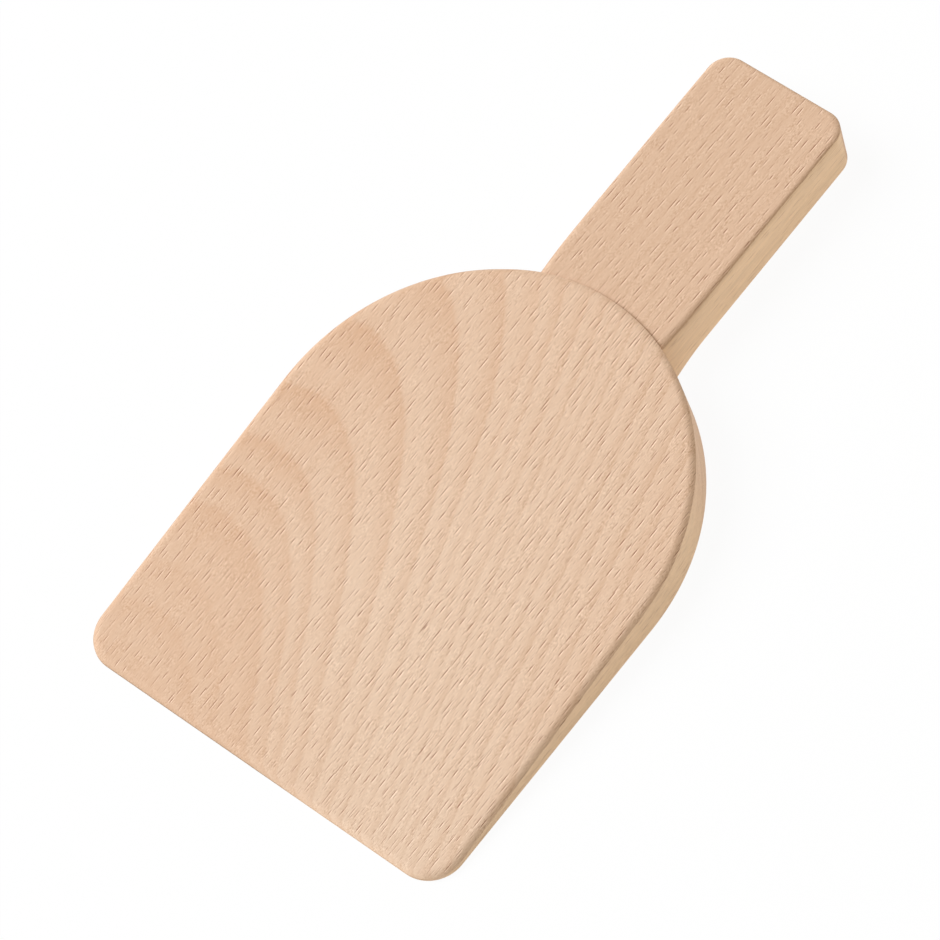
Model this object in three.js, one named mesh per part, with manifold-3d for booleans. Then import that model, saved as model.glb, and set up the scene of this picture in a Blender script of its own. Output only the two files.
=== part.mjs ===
// A beech dough paddle: a wedge-shaped blade with a rounded end, and a flat handle doweled to it.
// Millimetres, +Z up. Y runs from the thin front edge (-Y) to the end of the handle (+Y), X across.
// The origin lies on the underside, below the middle of the whole paddle.
import * as THREE from "three";
import { mergeVertices } from "three/addons/utils/BufferGeometryUtils.js";
import Module from "manifold-3d";

const wasm = await Module();
wasm.setup();

// Blade
const BLADE_WIDTH = 150;
const BLADE_LENGTH = 187; // front edge to the top of the rounded end
const CROWN_RISE = 79; // length of the rounded end, a half ellipse
const CROWN_THICKNESS = 22; // at the top of the rounded end
const FRONT_THICKNESS = 2.4; // at the front edge
const FRONT_CORNER_RADIUS = 12.5;
const BLADE_EDGE_RADIUS = 2.4; // rounding along the top and bottom edges
const ROUNDING_SHARE = 0.45; // most of the local thickness that one edge's rounding may take

// Handle
const HANDLE_REACH = 93; // beyond the top of the rounded end
const HANDLE_WIDTH = 52;
const HANDLE_THICKNESS = 20;
const HANDLE_CORNER_RADIUS = 8.3;
const HANDLE_EDGE_RADIUS = 1.2;
const GLUE_GAP = 0.3; // between the rounded end and the handle's coped end

// Dowels
const DOWEL_DIAMETER = 8;
const DOWEL_LENGTH = 40; // half in the blade, half in the handle
const DOWEL_SPACING = 24;
const DOWEL_CHAMFER = 1;
const FLUTE_COUNT = 12;
const FLUTE_DEPTH = 0.4;
const DOWEL_CLEARANCE = 0.2; // around a dowel in its hole
const HOLE_END_ROOM = 1; // between a dowel's end and the bottom of its hole

// Wood
const BLADE_COLOUR = "#e5c5a8";
const HANDLE_COLOUR = "#deb99c";
const DOWEL_COLOUR = "#dcbd97";
const SANDED_ROUGHNESS = 0.6;
const TURNED_ROUGHNESS = 0.7;

// Facets
const CROWN_STEPS = 64;
const CORNER_STEPS = 8;
const EDGE_STEPS = 4;
const ROUND_SIDES = 32;
const MERGE_DISTANCE = 1e-4;

// Places along the paddle
const END_Y = (BLADE_LENGTH + HANDLE_REACH) / 2;
const FRONT_Y = -END_Y;
const CROWN_Y = FRONT_Y + BLADE_LENGTH;
const SHOULDER_Y = CROWN_Y - CROWN_RISE; // the straight sides end here
const HOLE_LENGTH = DOWEL_LENGTH + 2 * HOLE_END_ROOM; // through the joint, from bottom to bottom

const QUARTER_TURN = Math.PI / 2;

// Height of the blade's top face: a straight slope from the front edge to the crown.
function bladeTop(y) {
  const share = (y - FRONT_Y) / BLADE_LENGTH;
  return FRONT_THICKNESS + (CROWN_THICKNESS - FRONT_THICKNESS) * share;
}

// Y of the blade's rounded end at a distance x from the middle.
function crownAt(x) {
  return SHOULDER_Y + CROWN_RISE * Math.sqrt(1 - (x / (BLADE_WIDTH / 2)) ** 2);
}

function cornerArc(x, y, radius, from) {
  const arc = new THREE.EllipseCurve(x, y, radius, radius, from, from + QUARTER_TURN);
  return arc.getPoints(CORNER_STEPS);
}

// The blade seen from above: two front corners, straight sides and a half ellipse, moved out by grow.
function bladeOutline(grow) {
  const half = BLADE_WIDTH / 2 + grow;
  const radius = FRONT_CORNER_RADIUS + grow;
  const cornerX = half - radius;
  const cornerY = FRONT_Y - grow + radius;
  const crown = new THREE.EllipseCurve(0, SHOULDER_Y, half, CROWN_RISE + grow, 0, Math.PI);
  return new THREE.Shape([
    ...cornerArc(cornerX, cornerY, radius, -QUARTER_TURN),
    ...crown.getPoints(CROWN_STEPS),
    ...cornerArc(-cornerX, cornerY, radius, Math.PI),
  ]);
}

// The handle's bar seen from above. It starts at the shoulder, and the cope takes off what the blade fills.
function barOutline() {
  const half = HANDLE_WIDTH / 2;
  const cornerX = half - HANDLE_CORNER_RADIUS;
  const cornerY = END_Y - HANDLE_CORNER_RADIUS;
  return new THREE.Shape([
    new THREE.Vector2(-half, SHOULDER_Y),
    new THREE.Vector2(half, SHOULDER_Y),
    ...cornerArc(cornerX, cornerY, HANDLE_CORNER_RADIUS, 0),
    ...cornerArc(-cornerX, cornerY, HANDLE_CORNER_RADIUS, QUARTER_TURN),
  ]);
}

// A board of the given outline, lying on z = 0, with its top and bottom edges rounded.
function roundedBoard(outline, thickness, edgeRadius) {
  const board = new THREE.ExtrudeGeometry(outline, {
    depth: thickness - 2 * edgeRadius,
    bevelThickness: edgeRadius,
    bevelSize: edgeRadius,
    bevelOffset: -edgeRadius,
    bevelSegments: EDGE_STEPS,
  });
  return board.translate(0, 0, edgeRadius);
}

// Planes a board of crown thickness to the wedge. The rounding keeps its radius where the wood is thick
// enough, and gets flatter towards the front edge.
function planedToWedge(board) {
  const position = board.attributes.position;
  for (let i = 0; i < position.count; i += 1) {
    const z = position.getZ(i);
    const top = bladeTop(position.getY(i));
    const flattening = Math.min(1, (ROUNDING_SHARE * top) / BLADE_EDGE_RADIUS);
    const isTopEdge = z > CROWN_THICKNESS / 2;
    position.setZ(i, isTopEdge ? top - (CROWN_THICKNESS - z) * flattening : z * flattening);
  }
  return board;
}

function toSolid(geometry) {
  geometry.deleteAttribute("normal");
  geometry.deleteAttribute("uv");
  const merged = mergeVertices(geometry, MERGE_DISTANCE);
  const vertProperties = new Float32Array(merged.attributes.position.array);
  const triVerts = new Uint32Array(merged.index.array);
  return new wasm.Manifold(new wasm.Mesh({ numProp: 3, vertProperties, triVerts }));
}

function toGeometry(solid) {
  const { vertProperties, triVerts } = solid.getMesh();
  const geometry = new THREE.BufferGeometry();
  geometry.setAttribute("position", new THREE.BufferAttribute(vertProperties, 3));
  geometry.setIndex(new THREE.BufferAttribute(triVerts, 1));
  geometry.computeVertexNormals();
  return geometry;
}

// Where each dowel's middle lies: in the joint, at half the thickness of the handle or of the blade at
// the bottom of the hole, whichever is thinner.
function dowelCentre(side) {
  const x = (side * DOWEL_SPACING) / 2;
  const y = crownAt(x) + GLUE_GAP / 2;
  const thinnest = Math.min(HANDLE_THICKNESS, bladeTop(y - HOLE_LENGTH / 2));
  return new THREE.Vector3(x, y, thinnest / 2);
}

function dowelHole(side) {
  const radius = DOWEL_DIAMETER / 2 + DOWEL_CLEARANCE;
  const hole = new THREE.CylinderGeometry(radius, radius, HOLE_LENGTH, ROUND_SIDES);
  return toSolid(hole.translate(...dowelCentre(side)));
}

function makeBlade() {
  const board = roundedBoard(bladeOutline(0), CROWN_THICKNESS, BLADE_EDGE_RADIUS);
  const blade = toSolid(planedToWedge(board));
  return toGeometry(blade.subtract(dowelHole(-1)).subtract(dowelHole(1)));
}

function makeHandle() {
  const bar = toSolid(roundedBoard(barOutline(), HANDLE_THICKNESS, HANDLE_EDGE_RADIUS));
  const cope = new THREE.ExtrudeGeometry(bladeOutline(GLUE_GAP), {
    depth: 2 * HANDLE_THICKNESS,
    bevelEnabled: false,
  });
  const coped = bar.subtract(toSolid(cope.translate(0, 0, -HANDLE_THICKNESS / 2)));
  return toGeometry(coped.subtract(dowelHole(-1)).subtract(dowelHole(1)));
}

// A dowel along Y, centred on the origin: a fluted rod with both ends turned to a chamfer. Each flute has
// two points on the crest and two at its root.
function makeDowel() {
  const radius = DOWEL_DIAMETER / 2;
  const root = radius - FLUTE_DEPTH;
  const radii = Array.from({ length: FLUTE_COUNT }, () => [radius, radius, root, root]).flat();
  const fluted = radii.map((r, i) => {
    const angle = (2 * Math.PI * i) / radii.length;
    return new THREE.Vector2(r * Math.cos(angle), r * Math.sin(angle));
  });
  const rod = new THREE.ExtrudeGeometry(new THREE.Shape(fluted), {
    depth: 2 * DOWEL_LENGTH,
    bevelEnabled: false,
  });
  rod.translate(0, 0, -DOWEL_LENGTH).rotateX(QUARTER_TURN);
  const end = DOWEL_LENGTH / 2;
  const wide = radius + DOWEL_CHAMFER; // clear of the flutes, so that only the ends are turned
  const turned = new THREE.LatheGeometry(
    [
      new THREE.Vector2(0, -end),
      new THREE.Vector2(radius - DOWEL_CHAMFER, -end),
      new THREE.Vector2(wide, 2 * DOWEL_CHAMFER - end),
      new THREE.Vector2(wide, end - 2 * DOWEL_CHAMFER),
      new THREE.Vector2(radius - DOWEL_CHAMFER, end),
      new THREE.Vector2(0, end),
    ],
    ROUND_SIDES,
  );
  return toGeometry(toSolid(rod).intersect(toSolid(turned)));
}

function named(name, geometry, colour, roughness) {
  const material = new THREE.MeshStandardMaterial({ color: colour, roughness, metalness: 0 });
  const mesh = new THREE.Mesh(geometry, material);
  mesh.name = name;
  return mesh;
}

const paddle = new THREE.Group();
paddle.add(named("blade", makeBlade(), BLADE_COLOUR, SANDED_ROUGHNESS));
paddle.add(named("handle", makeHandle(), HANDLE_COLOUR, SANDED_ROUGHNESS));
for (const [name, side] of [["dowel_left", -1], ["dowel_right", 1]]) {
  const dowel = named(name, makeDowel(), DOWEL_COLOUR, TURNED_ROUGHNESS);
  dowel.position.copy(dowelCentre(side));
  paddle.add(dowel);
}

export default paddle;
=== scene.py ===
import math
from collections import namedtuple

import bmesh
import bpy
import numpy as np
from mathutils import Matrix, Vector


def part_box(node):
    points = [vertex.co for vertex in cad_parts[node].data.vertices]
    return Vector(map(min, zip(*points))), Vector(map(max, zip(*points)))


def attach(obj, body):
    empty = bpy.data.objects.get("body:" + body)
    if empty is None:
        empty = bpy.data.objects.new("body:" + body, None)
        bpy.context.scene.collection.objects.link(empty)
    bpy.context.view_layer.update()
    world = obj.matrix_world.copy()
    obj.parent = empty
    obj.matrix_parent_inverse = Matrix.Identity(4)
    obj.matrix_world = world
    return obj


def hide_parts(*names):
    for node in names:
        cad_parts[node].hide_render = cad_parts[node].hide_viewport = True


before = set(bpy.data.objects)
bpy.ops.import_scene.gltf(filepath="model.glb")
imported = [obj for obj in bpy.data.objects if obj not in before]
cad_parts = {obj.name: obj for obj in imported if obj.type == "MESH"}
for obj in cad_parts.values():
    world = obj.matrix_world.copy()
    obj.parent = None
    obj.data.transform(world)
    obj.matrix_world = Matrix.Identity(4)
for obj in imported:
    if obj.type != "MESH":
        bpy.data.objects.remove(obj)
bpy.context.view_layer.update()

# A beech dough paddle: a wedge-shaped blade and a flat handle, two boards joined by two hidden dowels.
# Lengths are millimetres in the frame's axes. Meshes, lamps, camera and floor are made in metres.
MM = 0.001
DOWELS = ("dowel_left", "dowel_right")


def box_in_mm(node):
    """The lowest and highest corners of a node's box, in millimetres."""
    low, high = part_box(node)
    return np.array(low) / MM, np.array(high) / MM


BLADE_LOW, BLADE_HIGH = box_in_mm("blade")
HANDLE_HIGH = box_in_mm("handle")[1]

# Blade
BLADE_HALF = BLADE_HIGH[0]
FRONT_Y = BLADE_LOW[1]
CROWN_Y = BLADE_HIGH[1]
CROWN_RISE = 79.0  # length of the rounded end
SHOULDER_Y = CROWN_Y - CROWN_RISE
CROWN_THICKNESS = 22.0
FRONT_THICKNESS = 2.4
FRONT_CORNER = 12.5
BLADE_LEAN = 0.04  # the walls lean in by this much for each millimetre up
BLADE_ROUNDING = 2.7  # width of the rounding along the top edge
BLADE_ROUNDING_END = math.radians(56)  # tilt at which it meets the wall, in a soft crease
STEP_END = math.radians(25)  # the same where the handle joins the crown
STEP_HALF = 24.0  # half the width of that stretch
STEP_FADE = 12.0  # and the length over which it fades into the rest
BLADE_EASING = 0.5  # radius along the bottom edge
ROUNDING_SHARE = 0.45  # most of the local thickness that a rounding may take
BLADE_SPINE_MARGIN = 60.0  # from the ends of the blade to the ends of its faces' middle line

# Handle
HANDLE_HALF = HANDLE_HIGH[0]
HANDLE_END = HANDLE_HIGH[1]
HANDLE_THICKNESS = HANDLE_HIGH[2]
END_CORNER = 7.8  # radius of the corners at the end
CORNER_BLUNTING = 2.4  # how much rounder they are around the top face
HANDLE_ROUNDING = 1.4  # width of the rounding along the top edge
ROOT_ROUNDING = 2.6  # the same where the handle meets the blade
HANDLE_ROUNDING_END = math.radians(66)  # tilt at which it meets the wall
ROUNDING_FADE = 70.0  # length over which it gets narrower
HANDLE_EASING = 0.8  # radius along the bottom edge
ROOT_LENGTH = 18.0  # stretch of the handle that is shaped towards the blade
ROOT_FLARE = 1.2  # the side walls stand out by this much at the bottom of the root
ROOT_TUCK = 0.7  # and lean in by this much at its top
HANDLE_SPINE_MARGIN = 22.0  # from the ends of the handle to the ends of its faces' middle line
GLUE_LINE = 0.05  # room between the handle and the blade

# Dowel holes
HOLE_CLEARANCE = 0.2
HOLE_END_ROOM = 1.0

# Steps of the grids: lengths, angles and counts
EDGE_STEP = 2.5
FRONT_CORNER_STEP = 0.06
END_CORNER_STEP = 0.096
CROWN_STEP = 0.026
ROUNDING_STEPS = 10
EASING_STEPS = 5
WALL_STEPS = 5
FACE_STEPS = 14
COPE_STEPS = 24
SIDE_STEPS = 48
END_STEPS = 12
HOLE_SIDES = 48
CREASE_ANGLE = math.radians(28)
MERGE_DISTANCE = 1e-7  # metres


# Shapes

# The upper or lower rim of the handle: its rounding's width as a function of y, how much rounder its corners
# get towards the face, how far the wall stands out at the root and how far the cope stands off the blade's
# lower edge.
Rim = namedtuple("Rim", "width blunting root grow")


def wedge_top(y):
    """Height of the blade's top face: a straight slope from the front edge to the crown."""
    share = (y - FRONT_Y) / (CROWN_Y - FRONT_Y)
    return FRONT_THICKNESS + (CROWN_THICKNESS - FRONT_THICKNESS) * share


def crown_y(x, grow=0.0):
    """Y of the blade's rounded end at a distance x from the middle: a half ellipse, moved out by grow."""
    return SHOULDER_Y + (CROWN_RISE + grow) * np.sqrt(1 - (x / (BLADE_HALF + grow)) ** 2)


def stations(start, end, step):
    """Evenly spaced values from start up to, but without, end, about step apart."""
    count = max(2, math.ceil(abs(end - start) / step))
    return np.linspace(start, end, count, endpoint=False)


def mirrored(points, flip):
    """A closed ring from its right half, which starts and ends on the middle line."""
    return np.concatenate([points, points[-2:0:-1] * flip])


def blade_edge():
    """The blade seen from above, as points and outward normals, anticlockwise from the middle of the front.
    Each half is a straight front, a corner arc, a straight side and a quarter ellipse."""
    corner_x, corner_y = BLADE_HALF - FRONT_CORNER, FRONT_Y + FRONT_CORNER
    front = stations(0, corner_x, EDGE_STEP)
    arc = stations(-math.pi / 2, 0, FRONT_CORNER_STEP)
    side = stations(corner_y, SHOULDER_Y, EDGE_STEP)
    crown = np.append(stations(0, math.pi / 2, CROWN_STEP), math.pi / 2)
    x = np.concatenate([
        front,
        corner_x + FRONT_CORNER * np.cos(arc),
        np.full_like(side, BLADE_HALF),
        BLADE_HALF * np.cos(crown),
    ])
    y = np.concatenate([
        np.full_like(front, FRONT_Y),
        corner_y + FRONT_CORNER * np.sin(arc),
        side,
        SHOULDER_Y + CROWN_RISE * np.sin(crown),
    ])
    across = np.concatenate([
        np.zeros_like(front), np.cos(arc), np.ones_like(side), CROWN_RISE * np.cos(crown),
    ])
    along = np.concatenate([
        -np.ones_like(front), np.sin(arc), np.zeros_like(side), BLADE_HALF * np.sin(crown),
    ])
    normals = np.stack([across, along], axis=1) / np.hypot(across, along)[:, None]
    flip = np.array([-1, 1])
    return mirrored(np.stack([x, y], axis=1), flip), mirrored(normals, flip)


def part_round(end, steps):
    """Part of a round, from a flat face to a wall that it meets at the tilt end, as shares of its width: how
    far in from the wall and how far down."""
    tilt = np.multiply.outer(np.linspace(0, 1, steps + 1), end)
    return 1 - np.sin(tilt) / np.sin(end), (1 - np.cos(tilt)) / np.sin(end)


def face_rows(rim, spine):
    """Rows of a face, from its middle line to its rim, evenly spaced."""
    share = np.linspace(0, 1, FACE_STEPS, endpoint=False)[:, None, None]
    return spine + (rim - spine) * share


def wall_rows(upper, lower):
    """Rows between the ends of the top and bottom roundings, evenly spaced."""
    share = np.linspace(0, 1, WALL_STEPS + 1)[1:-1, None, None]
    return upper + (lower - upper) * share


def closed_rows(top, bottom, spine_start, spine_end):
    """All rows of a board: top face, top rounding, wall, bottom rounding and bottom face.
    The faces run in to a middle line on x = 0, between the two values of y."""
    def spine(rim):
        y = np.clip(rim[:, 1], spine_start, spine_end)
        z = rim[:, 2] if np.ptp(rim[:, 2]) == 0 else wedge_top(y)
        return np.stack([np.zeros_like(y), y, z], axis=1)

    return np.concatenate([
        face_rows(top[0], spine(top[0])),
        top,
        wall_rows(top[-1], bottom[-1]),
        bottom[::-1],
        face_rows(bottom[0], spine(bottom[0]))[::-1],
    ])


def rounding_end(edge):
    """Tilt at which the blade's top rounding meets the wall, for each point of the edge: less in the step
    above the handle."""
    beside = np.clip((np.abs(edge[:, 0]) - STEP_HALF) / STEP_FADE, 0, 1)
    at_step = np.where(edge[:, 1] > SHOULDER_Y, 1 - beside, 0)
    return BLADE_ROUNDING_END + (STEP_END - BLADE_ROUNDING_END) * at_step


def blade_rows():
    """The blade as rows around it. A point of a rounding lies inset from the edge along its normal. The walls
    lean in, and the top rounding gets flatter where the wedge is thin."""
    edge, normals = blade_edge()
    inset, drop = part_round(rounding_end(edge), ROUNDING_STEPS)
    inset = BLADE_ROUNDING * inset + BLADE_LEAN * wedge_top(edge[:, 1])
    plan = edge - inset[..., None] * normals
    height = wedge_top(plan[..., 1])
    flatter = np.minimum(1, ROUNDING_SHARE * height / (BLADE_ROUNDING * drop[-1]))
    top = np.dstack([plan, height - BLADE_ROUNDING * drop * flatter])
    inset, rise = part_round(math.pi / 2, EASING_STEPS)
    plan = edge - BLADE_EASING * inset[:, None, None] * normals
    bottom = np.dstack([plan, np.broadcast_to(BLADE_EASING * rise[:, None], plan.shape[:2])])
    return closed_rows(top, bottom, FRONT_Y + BLADE_SPINE_MARGIN, CROWN_Y - BLADE_SPINE_MARGIN)


def towards_blade(y, length):
    """1 where the handle meets the blade, falling evenly to 0 at the given length along the handle."""
    return 1 - np.clip((y - crown_y(HANDLE_HALF)) / length, 0, 1)


def handle_ring(inset, drop, rim):
    """One row around the handle, from the middle of its coped end, as x, y and its depth from the face: the
    cope, a straight side, a corner arc and the end. inset and drop are shares of the rounding's width."""
    def half_width(y):
        return HANDLE_HALF - rim.width(y) * inset + rim.root * towards_blade(y, ROOT_LENGTH) ** 2

    blunted = END_CORNER + rim.blunting * inset
    corner = blunted - rim.width(HANDLE_END) * inset
    corner_x, corner_y = HANDLE_HALF - blunted, HANDLE_END - blunted
    root_x = half_width(crown_y(HANDLE_HALF))
    root_y = crown_y(root_x, rim.grow)
    cope_x = root_x * np.linspace(0, 1, COPE_STEPS, endpoint=False)
    side_y = root_y + (corner_y - root_y) * np.linspace(0, 1, SIDE_STEPS, endpoint=False)
    arc = stations(0, math.pi / 2, END_CORNER_STEP)
    end_x = corner_x * np.linspace(1, 0, END_STEPS)
    x = np.concatenate([cope_x, half_width(side_y), corner_x + corner * np.cos(arc), end_x])
    y = np.concatenate([
        crown_y(cope_x, rim.grow),
        side_y,
        corner_y + corner * np.sin(arc),
        np.full_like(end_x, corner_y + corner),
    ])
    depth = rim.width(np.maximum(y, root_y)) * drop
    return mirrored(np.stack([x, y, depth], axis=1), np.array([-1, 1, 1]))


def handle_rim(rim, end, steps):
    """The rows of one rounding of the handle, from the face to the wall."""
    return np.stack([handle_ring(inset, drop, rim) for inset, drop in zip(*part_round(end, steps))])


def handle_rows():
    """The handle as rows around it: a bar with round corners at its end, coped to the leaning wall of the
    blade's rounded end. Its top rounding is wider near the blade."""
    def rounding(y):
        return HANDLE_ROUNDING + (ROOT_ROUNDING - HANDLE_ROUNDING) * towards_blade(y, ROUNDING_FADE) ** 2

    def easing(y):
        return np.full_like(y, HANDLE_EASING)

    upper = Rim(rounding, CORNER_BLUNTING, -ROOT_TUCK, GLUE_LINE - BLADE_LEAN * HANDLE_THICKNESS)
    lower = Rim(easing, 0.0, ROOT_FLARE, GLUE_LINE)
    top = handle_rim(upper, HANDLE_ROUNDING_END, ROUNDING_STEPS)
    bottom = handle_rim(lower, math.pi / 2, EASING_STEPS)
    top[..., 2] = HANDLE_THICKNESS - top[..., 2]
    return closed_rows(top, bottom, crown_y(0) + HANDLE_SPINE_MARGIN, HANDLE_END - HANDLE_SPINE_MARGIN)


def rows_to_mesh(name, rows):
    """A mesh of quads between rows of points in millimetres, each row a closed ring. Rows that run in to a
    line or a point are merged there, so that the surface is closed."""
    count, around = rows.shape[:2]
    index = np.arange(count * around).reshape(count, around)
    ahead = np.roll(index, -1, axis=1)
    quads = np.stack([index[:-1], index[1:], ahead[1:], ahead[:-1]], axis=-1).reshape(-1, 4)
    mesh = bpy.data.meshes.new(name)
    mesh.from_pydata((rows.reshape(-1, 3) * MM).tolist(), [], quads.tolist())
    work = bmesh.new()
    work.from_mesh(mesh)
    bmesh.ops.remove_doubles(work, verts=work.verts, dist=MERGE_DISTANCE)
    bmesh.ops.recalc_face_normals(work, faces=work.faces)
    work.to_mesh(mesh)
    work.free()
    return mesh


def link(name, data):
    """Puts a mesh, lamp or camera into the scene as an object at the origin."""
    piece = bpy.data.objects.new(name, data)
    bpy.context.scene.collection.objects.link(piece)
    return piece


def hole_rows(dowel):
    """A dowel's hole as rows: a cylinder along Y around the dowel, a little wider and longer, closed at its
    ends by rows that shrink to a point."""
    low, high = box_in_mm(dowel)
    centre = (low + high) / 2
    radius = (high[2] - low[2]) / 2 + HOLE_CLEARANCE
    reach = (high[1] - low[1]) / 2 + HOLE_END_ROOM
    angle = np.linspace(0, 2 * math.pi, HOLE_SIDES, endpoint=False)
    ring = np.stack([radius * np.cos(angle), np.zeros_like(angle), radius * np.sin(angle)], axis=1)
    near, far = np.array([0, -reach, 0]), np.array([0, reach, 0])
    return np.stack([0 * ring + near, ring + near, ring + far, 0 * ring + far]) + centre


def bore(piece, dowels):
    """Cuts the dowels' holes into a piece."""
    for dowel in dowels:
        cutter = link("hole_" + dowel, rows_to_mesh("hole_" + dowel, hole_rows(dowel)))
        cut = piece.modifiers.new("bore", "BOOLEAN")
        cut.operation = "DIFFERENCE"
        cut.solver = "EXACT"
        cut.object = cutter
        bored = bpy.data.meshes.new_from_object(piece.evaluated_get(bpy.context.evaluated_depsgraph_get()))
        piece.modifiers.remove(cut)
        piece.data = bored
        bpy.data.objects.remove(cutter)


def make_board(name, rows, node, material):
    """A finished board, in place of its node: its surface with the dowel holes, smooth but for its
    creases."""
    board = link(name, rows_to_mesh(name, rows))
    bore(board, DOWELS)
    board.data.materials.clear()
    board.data.materials.append(material)
    board.data.shade_smooth()
    board.data.set_sharp_from_angle(angle=CREASE_ANGLE)
    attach(board, "root")
    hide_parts(node)


def finish_dowel(node, material):
    """Gives a dowel, which stays the CAD's own piece, its material."""
    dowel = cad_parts[node]
    dowel.data.materials.clear()
    dowel.data.materials.append(material)


# Finishes

NOISE_DETAIL = 1.0
NOISE_ROUGHNESS = 0.55
NOISE_MIDDLE = 0.5


class Field:
    """A number that varies over a surface, held by one socket. Arithmetic on it adds Math nodes."""

    def __init__(self, nodes, socket):
        self.nodes = nodes
        self.socket = socket

    def math(self, operation, *values):
        """A Math node on these values."""
        return self.nodes.node("ShaderNodeMath", {"operation": operation}, dict(enumerate(values)))

    def __add__(self, other):
        return self.math("ADD", self, other)

    def __sub__(self, other):
        return self.math("SUBTRACT", self, other)

    def __rsub__(self, other):
        return self.math("SUBTRACT", other, self)

    def __mul__(self, other):
        return self.math("MULTIPLY", self, other)

    def __truediv__(self, other):
        return self.math("DIVIDE", self, other)

    __radd__ = __add__
    __rmul__ = __mul__

    def sqrt(self):
        return self.math("SQRT", self)

    def size(self):
        return self.math("ABSOLUTE", self)

    def fraction(self):
        return self.math("FRACT", self)

    def at_least(self, low):
        return self.math("MAXIMUM", self, low)

    def at_most(self, high):
        return self.math("MINIMUM", self, high)

    def ramp(self, low, high, top=1.0, shape="LINEAR"):
        """0 up to low, top from high on."""
        settings = {"interpolation_type": shape}
        return self.nodes.node("ShaderNodeMapRange", settings, {0: self, 1: low, 2: high, 3: 0.0, 4: top})

    def smooth(self, low, high):
        """0 up to low, 1 from high on, with soft ends."""
        return self.ramp(low, high, shape="SMOOTHSTEP")

    def beside(self, output):
        """Another output of the same node."""
        return Field(self.nodes, self.socket.node.outputs[output])


class Nodes:
    """The nodes of a material or of the world."""

    def __init__(self, owner):
        owner.use_nodes = True
        self.tree = owner.node_tree

    def node(self, kind, settings, inputs, output=0):
        """Adds a node: its settings first, then the values or links of its sockets. Returns one output."""
        made = self.tree.nodes.new(kind)
        for name, value in settings.items():
            setattr(made, name, value)
        for key, value in inputs.items():
            self.feed(made.inputs[key], value)
        return Field(self, made.outputs[output])

    def feed(self, socket, value):
        """Links a field to a socket, or sets a plain value on it."""
        if isinstance(value, Field):
            self.tree.links.new(value.socket, socket)
        else:
            socket.default_value = value

    def parts(self, kind, whole, names):
        """The components of a vector or a colour, one field each."""
        first = self.node(kind, {}, {0: whole}, names[0])
        return [first.beside(name) for name in names]

    def position(self):
        """Where a point of the piece lies, in millimetres: x, y and z."""
        place = self.node("ShaderNodeTexCoord", {}, {}, "Object")
        return self.parts("ShaderNodeSeparateXYZ", self.scaled(place, 1 / MM), "XYZ")

    def normal(self):
        """Where a point of the piece faces: x, y and z of a unit vector."""
        normal = self.node("ShaderNodeNewGeometry", {}, {}, "Normal")
        return self.parts("ShaderNodeSeparateXYZ", normal, "XYZ")

    def vector(self, x, y, z):
        return self.node("ShaderNodeCombineXYZ", {}, {0: x, 1: y, 2: z})

    def scaled(self, whole, factor):
        """A vector or a colour times a number."""
        return self.node("ShaderNodeVectorMath", {"operation": "SCALE"}, {0: whole, "Scale": factor})

    def noise(self, place, size):
        """Soft noise around 0, within about half a unit, with features about this size in each direction."""
        vector = self.vector(*[value / length for value, length in zip(place, size)])
        inputs = {"Vector": vector, "Scale": 1.0, "Detail": NOISE_DETAIL, "Roughness": NOISE_ROUGHNESS}
        return self.node("ShaderNodeTexNoise", {}, inputs) - NOISE_MIDDLE

    def mix(self, share, first, second):
        """From the first colour to the second, as the share goes from 0 to 1."""
        return self.node("ShaderNodeMix", {"data_type": "RGBA"}, {0: share, 6: first, 7: second}, 2)

    def added(self, base, tint, amount):
        """A colour with an amount, which may be less than 0, of a tint added to it."""
        settings = {"operation": "MULTIPLY_ADD"}
        return self.node("ShaderNodeVectorMath", settings, {0: tint[:3], 1: amount, 2: base})


def blend(share, ends):
    """From the first of two numbers to the second, as the share goes from 0 to 1."""
    return ends[0] + (ends[1] - ends[0]) * share


def linear(red, green, blue):
    """A colour as seen on a screen, 0 to 255, as the linear values that sockets take, by the sRGB curve."""
    share = np.array([red, green, blue]) / 255
    value = np.where(share <= 0.04045, share / 12.92, ((share + 0.055) / 1.055) ** 2.4)
    return (*value.tolist(), 1.0)


# Wood. In a pair of numbers, a change begins at the first and is complete at the second, or a value goes from
# the first to the second. Sizes of noise are around the pith, along the grain and outwards from the pith.

BLADE_PALE = linear(231, 201, 174)
BLADE_DARK = linear(217, 173, 138)
HANDLE_PALE = linear(230, 196, 167)
HANDLE_DARK = linear(218, 180, 149)
DOWEL_PALE = linear(228, 199, 164)
DOWEL_DARK = linear(212, 178, 140)
RAY = linear(126, 58, 18)
# tint added to or taken from the colour: fibres, the rays' painted highlights, late wood and the handle's
# painted edge shade
LIGHT = linear(222, 208, 194)
SIDE_GRAIN = linear(236, 204, 169)
END_GRAIN = linear(205, 165, 130)

# Growth rings in the blade: how far each one's outer edge lies from the pith, and how dark it gets there.
BLADE_RINGS = (
    (221.4, 0.2), (223.0, 0.4), (224.5, 0.3), (226.9, 0.6), (228.4, 0.7), (229.8, 0.8), (232.0, 0.9),
    (234.8, 1.0), (237.8, 1.0), (240.5, 1.0), (242.6, 0.6), (244.4, 0.8), (247.2, 0.8), (249.8, 1.0),
    (251.2, 0.5), (252.8, 0.7), (255.1, 0.9), (258.4, 1.0), (262.7, 1.2), (266.8, 1.0), (273.0, 1.2),
    (279.2, 1.0), (283.4, 0.5), (288.0, 0.6),
)
BLADE_HEART = 218.0  # distance from the pith at which the first of these rings begins
LATE_START = 0.4  # share of a ring's width after which it darkens
RING_EDGE = 0.25  # softness of a ring's outer edge
BLADE_PITH_X = -61.7
BLADE_PITH_Z = -218.2
BLADE_PITH_LEAN = -0.017  # how far the pith moves across for each millimetre along
SWELL_X = -10.0  # to the right of this the rings swell
SWELL_Y = -50.0  # and turn about this
SWELL_TURN = 0.0011
SWELL_BEND = 0.0023
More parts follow.
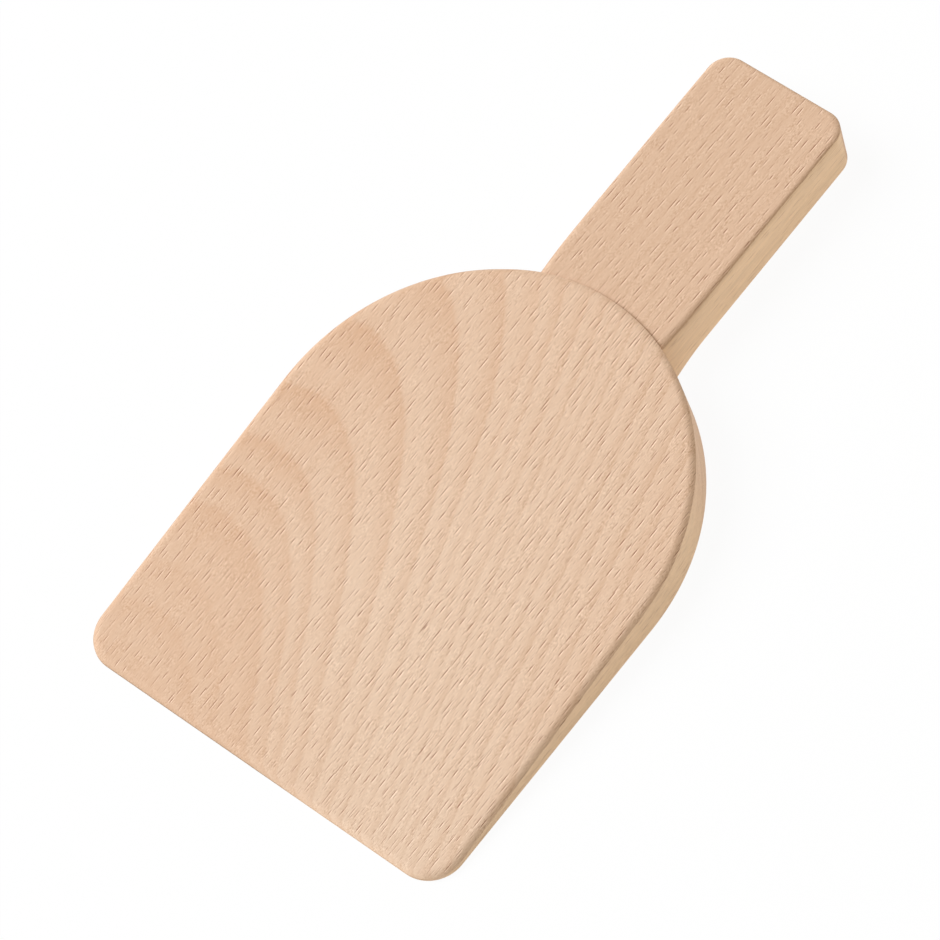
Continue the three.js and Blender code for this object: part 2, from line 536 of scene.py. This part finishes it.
WANDER = (28.0, 70.0, 28.0)  # slow waves of the rings, in x, y and z
WANDER_DEPTH = 0.4
FEATHER = (1.1, 9.0, 3.0)  # frayed edges of the rings
FEATHER_DEPTH = 0.35

# Tone of the blade: how pale it is, from 0 to 1, and where
BLADE_TONE = 0.96  # along the palest line
PALE_X = 8.0  # where that line runs
FRONT_PART_Y = -75.0  # in front of this it slants to the right
PALE_SLANT = 0.7
PALE_LEFT = 62.0  # distances from it at which the edge loss is complete
PALE_RIGHT = 90.0
EDGE_LOSS = 0.42
EDGE_MOST = 1.1  # most of the edge loss, at the far corners
END_LOSS = (-0.001, 0.002)  # for each millimetre behind the front part, on the left and on the right
END_LOSS_X = (-70.0, 0.0)

# What changes in the blade from its left part to its right one
RIGHT_PART_X = (-20.0, 30.0)
LATE_TONE = (0.34, 0.14)  # tone that late wood loses
LATE_SHADE = (0.02, 0.055)  # light that it loses
BLADE_FIBRE = (0.78, 0.93)
BLADE_WIDE_RAYS = (0.925, 1.0)
BLADE_FINE_RAYS = (0.68, 1.0)
FRONT_RAYS = (0.88, 1.0)  # wide rays are weaker at the front edge
FRONT_RAYS_Y = (-140.0, -80.0)
BLADE_STRAND = 4.5  # length of its strands
BLADE_FLECK_LEAN = 0.05  # lean of the rays' ends on the left
FLECK_LEAN_X = (-60.0, 60.0)  # they straighten between these

# Handle and dowels
HANDLE_PITH_X = -95.0
HANDLE_PITH_Z = -120.0
HANDLE_RING_WIDTH = 2.2
HANDLE_FLECK_LEAN = 0.02
HANDLE_TONE = 0.55
HANDLE_LATE_TONE = 0.3
HANDLE_RAYS = (0.845, 0.5)  # strength of the wide and of the fine rays
HANDLE_EDGE_PAINTED_SHADE = 0.12  # painted shade along its rounded edges: light taken away by the sideways part of the normal
PAINTED_SHADE_BEGINS = (0.55, 0.8)
PAINTED_SHADE_ENDS = (0.88, 0.95)
DOWEL_PITH_Z = -60.0
DOWEL_RING_WIDTH = 1.8
DOWEL_TONE = 0.7
DOWEL_LATE_TONE = 0.5
DOWEL_RAYS = (0.82, 0.5)
EVEN_LATE = (0.3, 0.9)  # shares of an even ring's width between which it darkens
STRAIGHT_STRAND = 9.0  # length of the strands in straight wood
STRAIGHT_FIBRE = 0.8

# Rays: the size of the space that one ray has, and of half its dark end, around the pith and along.
WIDE_RAYS = {"cell": (2.4, 8.0), "lens": (0.175, 3.2), "seed": 0.0}
FINE_RAYS = {"cell": (1.4, 4.2), "lens": (0.14, 1.7), "seed": 37.0}
RAY_SPREAD = 0.85  # how freely a ray lies in its space
RAY_LENGTHS = (0.5, 1.2)  # shortest and longest, as shares of the lens
RAY_STRENGTHS = (0.4, 1.0)  # weakest and strongest
RAY_TIP = (0.2, 1.0)  # shares of its half length over which it fades
RAY_LINE = (0.3, 1.0)  # shares of its half width over which its dark line fades
RAY_PAINTED_HIGHLIGHT = (0.2, 1.0)  # and its painted highlight, which stands in for the lit side of its groove
RAY_HIGHLIGHT_PLACE = 1.7  # how many half widths beside the line the painted highlight lies
WIDE_DEPTH = (0.95, 1.0)  # share of the rays' colour in early and in late wood
FINE_DEPTH = (0.48, 0.6)
# strengths of the painted highlights beside the wide and the fine rays
WIDE_PAINTED_HIGHLIGHT = 0.5
FINE_PAINTED_HIGHLIGHT = 0.25

# Where the rays' ends show, and which faces are side or end grain, by parts of the normal
RAYS_SHOW = (0.25, 0.7)  # how squarely the surface cuts the rays
RAYS_END = (0.2, 0.6)  # they fade towards end grain
RAYS_WEAKEN = (0.6, 0.9)  # and weaken on the walls
WALL_LOSS = 0.4
SIDE_FACE = (0.8, 0.95)
SIDE_SHARE = 0.8
END_FACE = (0.6, 1.0)
END_SHARE = 0.5

# Fibres, strands and streaks
FIBRE = (0.3, 0.8, 0.6)
ROUGH_PATCH = (3.0, 7.0, 5.0)
ROUGH_RANGE = (-0.15, 0.2)
FIBRE_STRENGTHS = (0.25, 1.0)  # in smooth and in rough patches
STRAND_WIDTH = 0.35
STRAND_DEPTH = 1.5
STREAK = (1.8, 35.0, 4.0)
STREAK_TONE = 0.3
STRAND_LIGHT = 0.15
SIDE_STRAND = 0.3
SIDE_STREAK = 0.25
FIBRE_RELIEF = 0.05
STRAND_RELIEF = 0.03
WIDE_RELIEF = 0.04
FINE_RELIEF = 0.015
WOOD_ROUGHNESS = 0.62
FIBRE_ROUGHNESS = 0.15
WOOD_SPECULAR = 0.3

# Where wood is looked up: its place around the pith, along the grain and outwards from the pith, with how
# squarely the surface cuts the rays (0 to 1), how dark the ring is there (0 to 1), how pale the board is
# (0 to 1), how much darker it is (the late wood's own colour in the blade, painted shade along the handle's
# rounded edges), how strong its fibres, how long its strands and how strong its wide and its fine rays.
Grain = namedtuple("Grain", "nodes place square late tone shade fibre strand rays")


def around_pith(nodes, across, height, reach):
    """Distance from the pith, where a line from the pith crosses a flat board at that reach, and how squarely
    the surface cuts that line."""
    radius = (across * across + height * height).sqrt()
    normal = nodes.normal()
    square = ((normal[0] * across + normal[2] * height) / radius).size()
    return radius, across / height * reach, square


def blade_rings(nodes, x, y, z):
    """The pith runs below the board, leaning a little across it, and the rings swell on the right."""
    across = x - BLADE_PITH_X - BLADE_PITH_LEAN * y
    radius, arc, square = around_pith(nodes, across, z - BLADE_PITH_Z, -BLADE_PITH_Z)
    right = (x - SWELL_X).at_least(0.0)
    swell = right * (y - SWELL_Y) * SWELL_TURN + right * right * SWELL_BEND
    lean = BLADE_FLECK_LEAN * (1 - x.smooth(*FLECK_LEAN_X))
    return radius + swell, arc - lean * y, square


def blade_late_wood(radius):
    """How dark the ring is: each ring darkens outwards to its own depth, and ends at a sharp edge."""
    late = 0.0
    inner = BLADE_HEART
    for outer, depth in BLADE_RINGS:
        start = inner + LATE_START * (outer - inner)
        late = late + radius.ramp(start, outer, depth) - radius.ramp(outer, outer + RING_EDGE, depth)
        inner = outer
    return late


def even_late_wood(radius, width):
    """How dark the ring is, where all rings are alike: it darkens outwards and fades at its outer edge."""
    share = (radius / width).fraction()
    return share.ramp(*EVEN_LATE) * (1 - share.ramp(EVEN_LATE[1], 1.0))


def flecks(grain, cell, lens, seed):
    """Ends of the rays, which run straight out from the pith: one thin lens in each cell, along the grain, of
    its own length and strength. Returns the dark line and the painted highlight beside it, on its right."""
    nodes = grain.nodes
    place = nodes.vector(grain.place[0] / cell[0] + seed, grain.place[1] / cell[1], 0.0)
    inputs = {"Vector": place, "Scale": 1.0, "Randomness": RAY_SPREAD}
    middle = nodes.node("ShaderNodeTexVoronoi", {"voronoi_dimensions": "2D"}, inputs, "Position")
    chance = nodes.parts("ShaderNodeSeparateColor", middle.beside("Color"), ("Red", "Green"))
    offset = nodes.node("ShaderNodeVectorMath", {"operation": "SUBTRACT"}, {0: place, 1: middle})
    away = nodes.parts("ShaderNodeSeparateXYZ", offset, "XY")
    across = away[0] * (cell[0] / lens[0])
    along = (away[1] * cell[1] / (lens[1] * blend(chance[0], RAY_LENGTHS))).size()
    strength = blend(chance[1], RAY_STRENGTHS) * (1 - along.smooth(*RAY_TIP))
    line = 1 - across.size().smooth(*RAY_LINE)
    # painted highlight: a light band on the right of the dark line, where light from the left would catch the
    # groove's wall
    edge = 1 - (across - RAY_HIGHLIGHT_PLACE).size().smooth(*RAY_PAINTED_HIGHLIGHT)
    return line * strength, edge * strength


def ray_ends(grain, sideways, endways):
    """The wide and the fine rays' ends, each as dark lines and painted highlights. They show where the
    surface cuts the rays squarely, are weaker on the walls and fade towards end grain."""
    seen = grain.square.smooth(*RAYS_SHOW) * (1 - endways.smooth(*RAYS_END))
    seen = seen * (1 - WALL_LOSS * sideways.smooth(*RAYS_WEAKEN))
    kinds = zip(grain.rays, (WIDE_RAYS, FINE_RAYS))
    return [[seen * strength * mark for mark in flecks(grain, **kind)] for strength, kind in kinds]


def fibres(grain):
    """Fibres, strands and streaks: noise drawn out along the grain. Fibres are weaker in smooth patches."""
    nodes = grain.nodes
    rough = nodes.noise(grain.place, ROUGH_PATCH).smooth(*ROUGH_RANGE)
    fibre = nodes.noise(grain.place, FIBRE) * blend(rough, FIBRE_STRENGTHS)
    strand = nodes.noise(grain.place, (STRAND_WIDTH, grain.strand, STRAND_DEPTH))
    streak = nodes.noise(grain.place, STREAK)
    return fibre, strand, streak


def beech(grain, pale, dark):
    """Untreated beech: growth rings, the dark ends of rays with painted highlights beside them, fine fibres,
    and the tone of side and end grain. Returns its colour, roughness and relief."""
    nodes = grain.nodes
    sideways, endways = [part.size() for part in nodes.normal()[:2]]
    (wide, wide_highlight), (fine, fine_highlight) = ray_ends(grain, sideways, endways)
    fibre, strand, streak = fibres(grain)
    # light added to the colour: fibres and strands, the rays' painted highlights, less grain.shade (darker
    # late wood, painted shade on the handle's edges)
    light = grain.fibre * fibre + STRAND_LIGHT * strand
    light = light + WIDE_PAINTED_HIGHLIGHT * wide_highlight + FINE_PAINTED_HIGHLIGHT * fine_highlight - grain.shade
    colour = nodes.mix(grain.tone + STREAK_TONE * streak, dark, pale)
    colour = nodes.added(colour, LIGHT, light)
    side = nodes.scaled(SIDE_GRAIN[:3], 1 + SIDE_STRAND * strand + SIDE_STREAK * streak)
    colour = nodes.mix(SIDE_SHARE * sideways.smooth(*SIDE_FACE), colour, side)
    colour = nodes.mix(END_SHARE * endways.smooth(*END_FACE), colour, END_GRAIN)
    colour = nodes.mix(blend(grain.late, WIDE_DEPTH) * wide, colour, RAY)
    colour = nodes.mix(blend(grain.late, FINE_DEPTH) * fine, colour, RAY)
    height = FIBRE_RELIEF * fibre + STRAND_RELIEF * strand - WIDE_RELIEF * wide - FINE_RELIEF * fine
    relief = nodes.node("ShaderNodeBump", {}, {"Height": height, "Distance": MM, "Strength": 1.0})
    return colour, WOOD_ROUGHNESS + FIBRE_ROUGHNESS * fibre, relief


def wood_material(name, wood):
    """A material whose colour, roughness and relief come from wood, given the nodes and x, y and z."""
    material = bpy.data.materials.new(name)
    nodes = Nodes(material)
    colour, roughness, relief = wood(nodes, *nodes.position())
    shader = nodes.tree.nodes["Principled BSDF"]
    nodes.feed(shader.inputs["Base Color"], colour)
    nodes.feed(shader.inputs["Roughness"], roughness)
    nodes.feed(shader.inputs["Normal"], relief)
    nodes.feed(shader.inputs["Specular IOR Level"], WOOD_SPECULAR)
    return material


def blade_tone(x, y):
    """How pale the blade is without its rings: palest along a line near its middle, and darker towards the
    sides, with the square of the distance, and towards the crown."""
    aside = x - PALE_X - PALE_SLANT * (FRONT_PART_Y - y).at_least(0.0)
    aside = aside.at_least(0.0) / PALE_RIGHT + aside.at_most(0.0) / PALE_LEFT
    edgewards = EDGE_LOSS * (aside * aside).at_most(EDGE_MOST)
    endwards = blend(x.smooth(*END_LOSS_X), END_LOSS) * (y - FRONT_PART_Y).at_least(0.0)
    return BLADE_TONE - edgewards - endwards


def blade_wood(nodes, x, y, z):
    """Flat-sawn: the rings make a half arch on the face."""
    radius, arc, square = blade_rings(nodes, x, y, z)
    place = arc, y, radius
    wander = WANDER_DEPTH * nodes.noise((x, y, z), WANDER)
    late = blade_late_wood(radius + wander + FEATHER_DEPTH * nodes.noise(place, FEATHER))
    right = x.smooth(*RIGHT_PART_X)
    wide = blend(right, BLADE_WIDE_RAYS) * blend(y.smooth(*FRONT_RAYS_Y), FRONT_RAYS)
    grain = Grain(
        nodes, place, square, late,
        tone=blade_tone(x, y) - blend(right, LATE_TONE) * late,
        shade=blend(right, LATE_SHADE) * late,
        fibre=blend(right, BLADE_FIBRE),
        strand=BLADE_STRAND,
        rays=(wide, blend(right, BLADE_FINE_RAYS)),
    )
    return beech(grain, BLADE_PALE, BLADE_DARK)


def handle_wood(nodes, x, y, z):
    """Rift-sawn: the rings cross the bar at a slant and show as faint straight streaks. Its rounded edges get
    a band of painted shade."""
    radius, arc, square = around_pith(nodes, x - HANDLE_PITH_X, z - HANDLE_PITH_Z, -HANDLE_PITH_Z)
    late = even_late_wood(radius, HANDLE_RING_WIDTH)
    # painted shade: a band along the rounded edges, where the normal's sideways part lies between these
    # shares, is darkened
    sideways = nodes.normal()[0].size()
    rounded = sideways.smooth(*PAINTED_SHADE_BEGINS) - sideways.smooth(*PAINTED_SHADE_ENDS)
    grain = Grain(
        nodes, (arc - HANDLE_FLECK_LEAN * y, y, radius), square, late,
        tone=HANDLE_TONE - HANDLE_LATE_TONE * late,
        shade=HANDLE_EDGE_PAINTED_SHADE * rounded,
        fibre=STRAIGHT_FIBRE,
        strand=STRAIGHT_STRAND,
        rays=HANDLE_RAYS,
    )
    return beech(grain, HANDLE_PALE, HANDLE_DARK)


def dowel_wood(nodes, x, y, z):
    """Straight-grained rods, split and turned."""
    radius, arc, square = around_pith(nodes, x, z - DOWEL_PITH_Z, -DOWEL_PITH_Z)
    late = even_late_wood(radius, DOWEL_RING_WIDTH)
    grain = Grain(
        nodes, (arc, y, radius), square, late,
        tone=DOWEL_TONE - DOWEL_LATE_TONE * late,
        shade=0.0,
        fibre=STRAIGHT_FIBRE,
        strand=STRAIGHT_STRAND,
        rays=DOWEL_RAYS,
    )
    return beech(grain, DOWEL_PALE, DOWEL_DARK)


# The scene

CAMERA_AIM = Vector((-4.878, -22.527, 8.0)) * MM
CAMERA_AZIMUTH = math.radians(58.79)
CAMERA_ELEVATION = math.radians(61.01)
CAMERA_ROLL = math.radians(-22.44)
CAMERA_DISTANCE = 1644.98 * MM
CAMERA_LENS = 198.68
SENSOR = 36.0

KEY_AZIMUTH = math.radians(-64)
KEY_ELEVATION = math.radians(47)
KEY_DISTANCE = 9.0
KEY_SIZE = 7.0
KEY_POWER = 973.0
KEY_COLOUR = (0.875, 0.924, 1.0)
SKY_STRENGTH = 0.32
SKY_COLOUR = (1.0, 0.88, 0.68, 1.0)
WHITE = (1.0, 1.0, 1.0, 1.0)

TABLE_COLOUR = (0.45, 0.45, 0.45, 1.0)
GLOW_COLOUR = (1.0, 0.97, 0.9)
GLOW_X = (0.0, 24.0)  # the table glows to the right of these, in millimetres
GLOW_Y = (110.0, 160.0)  # and beyond these
GLOW_STRENGTHS = (0.75, 0.95)  # from the front to the back
GLOW_RISE_Y = (-90.0, 60.0)
SHADOW_SHARE = 0.06  # how much of the paddle's shadow shows on the white
FLOOR_HALF = 3.0
FLOOR_DROP = 0.00005


def direction(azimuth, elevation):
    """Unit vector towards a place seen from the object: azimuth 0 lies on the -Y side, 90 degrees on +X."""
    flat = math.cos(elevation)
    return Vector((math.sin(azimuth) * flat, -math.cos(azimuth) * flat, math.sin(elevation)))


def add_camera():
    """A long lens, high on the right and turned about its line of sight, so that the handle points up and to
    the right."""
    back = direction(CAMERA_AZIMUTH, CAMERA_ELEVATION)
    level = Vector((0, 0, 1)).cross(back).normalized()
    upright = back.cross(level)
    right = math.cos(CAMERA_ROLL) * level + math.sin(CAMERA_ROLL) * upright
    up = back.cross(right)
    data = bpy.data.cameras.new("camera")
    data.lens = CAMERA_LENS
    data.sensor_width = SENSOR
    camera = link("camera", data)
    turned = Matrix((right, up, back)).transposed().to_4x4()
    camera.matrix_world = Matrix.Translation(CAMERA_AIM + CAMERA_DISTANCE * back) @ turned
    bpy.context.scene.camera = camera


def add_key():
    """A square soft box, to the left and a little to the front, that faces the middle of the paddle."""
    data = bpy.data.lights.new("key", "AREA")
    data.size = KEY_SIZE
    data.energy = KEY_POWER
    data.color = KEY_COLOUR
    lamp = link("key", data)
    towards = direction(KEY_AZIMUTH, KEY_ELEVATION)
    lamp.location = KEY_DISTANCE * towards
    lamp.rotation_mode = "QUATERNION"
    lamp.rotation_quaternion = (-towards).to_track_quat("-Z", "Y")
    lamp.visible_camera = False


def seen_directly(nodes):
    """1 for rays from the camera or by way of a mirror or glass, 0 for the light that falls on things."""
    camera = nodes.node("ShaderNodeLightPath", {}, {}, "Is Camera Ray")
    return camera.at_least(camera.beside("Is Glossy Ray")).at_least(camera.beside("Is Transmission Ray"))


def add_sky():
    """A warm sky that lights the paddle evenly, and is plain white where it is seen."""
    world = bpy.data.worlds.new("sky")
    nodes = Nodes(world)
    bpy.context.scene.world = world
    light = nodes.node("ShaderNodeBackground", {}, {"Color": SKY_COLOUR, "Strength": SKY_STRENGTH})
    white = nodes.node("ShaderNodeBackground", {}, {"Color": WHITE, "Strength": 1.0})
    mixed = nodes.node("ShaderNodeMixShader", {}, {0: seen_directly(nodes), 1: light, 2: white})
    nodes.feed(nodes.tree.nodes["World Output"].inputs["Surface"], mixed)


def table_material():
    """A light table: it glows on the sides that the key leaves dark, and shows white with a faint shadow."""
    material = bpy.data.materials.new("light_table")
    nodes = Nodes(material)
    x, y = nodes.position()[:2]
    glow = x.smooth(*GLOW_X).at_least(y.smooth(*GLOW_Y)) * blend(y.smooth(*GLOW_RISE_Y), GLOW_STRENGTHS)
    paint = nodes.node("ShaderNodeBsdfDiffuse", {}, {"Color": TABLE_COLOUR})
    lit = nodes.node("ShaderNodeEmission", {}, {"Color": nodes.scaled(GLOW_COLOUR, glow)})
    table = nodes.node("ShaderNodeAddShader", {}, {0: paint, 1: lit})
    white = nodes.node("ShaderNodeEmission", {}, {"Color": WHITE, "Strength": 1.0})
    paper = nodes.node("ShaderNodeBsdfDiffuse", {}, {"Color": WHITE})
    shown = nodes.node("ShaderNodeMixShader", {}, {0: SHADOW_SHARE, 1: white, 2: paper})
    mixed = nodes.node("ShaderNodeMixShader", {}, {0: seen_directly(nodes), 1: table, 2: shown})
    nodes.feed(nodes.tree.nodes["Material Output"].inputs["Surface"], mixed)
    return material


def add_floor():
    """One large square just below the paddle."""
    corners = [(-1, -1), (1, -1), (1, 1), (-1, 1)]
    points = [(x * FLOOR_HALF, y * FLOOR_HALF, -FLOOR_DROP) for x, y in corners]
    mesh = bpy.data.meshes.new("floor")
    mesh.from_pydata(points, [], [(0, 1, 2, 3)])
    mesh.materials.append(table_material())
    link("floor", mesh)


bpy.context.scene.view_settings.view_transform = "Standard"
add_camera()
add_key()
add_sky()
add_floor()

blade_beech = wood_material("blade_beech", blade_wood)
handle_beech = wood_material("handle_beech", handle_wood)
dowel_beech = wood_material("dowel_beech", dowel_wood)
make_board("sanded_blade", blade_rows(), "blade", blade_beech)
make_board("sanded_handle", handle_rows(), "handle", handle_beech)
for dowel in DOWELS:
    finish_dowel(dowel, dowel_beech)
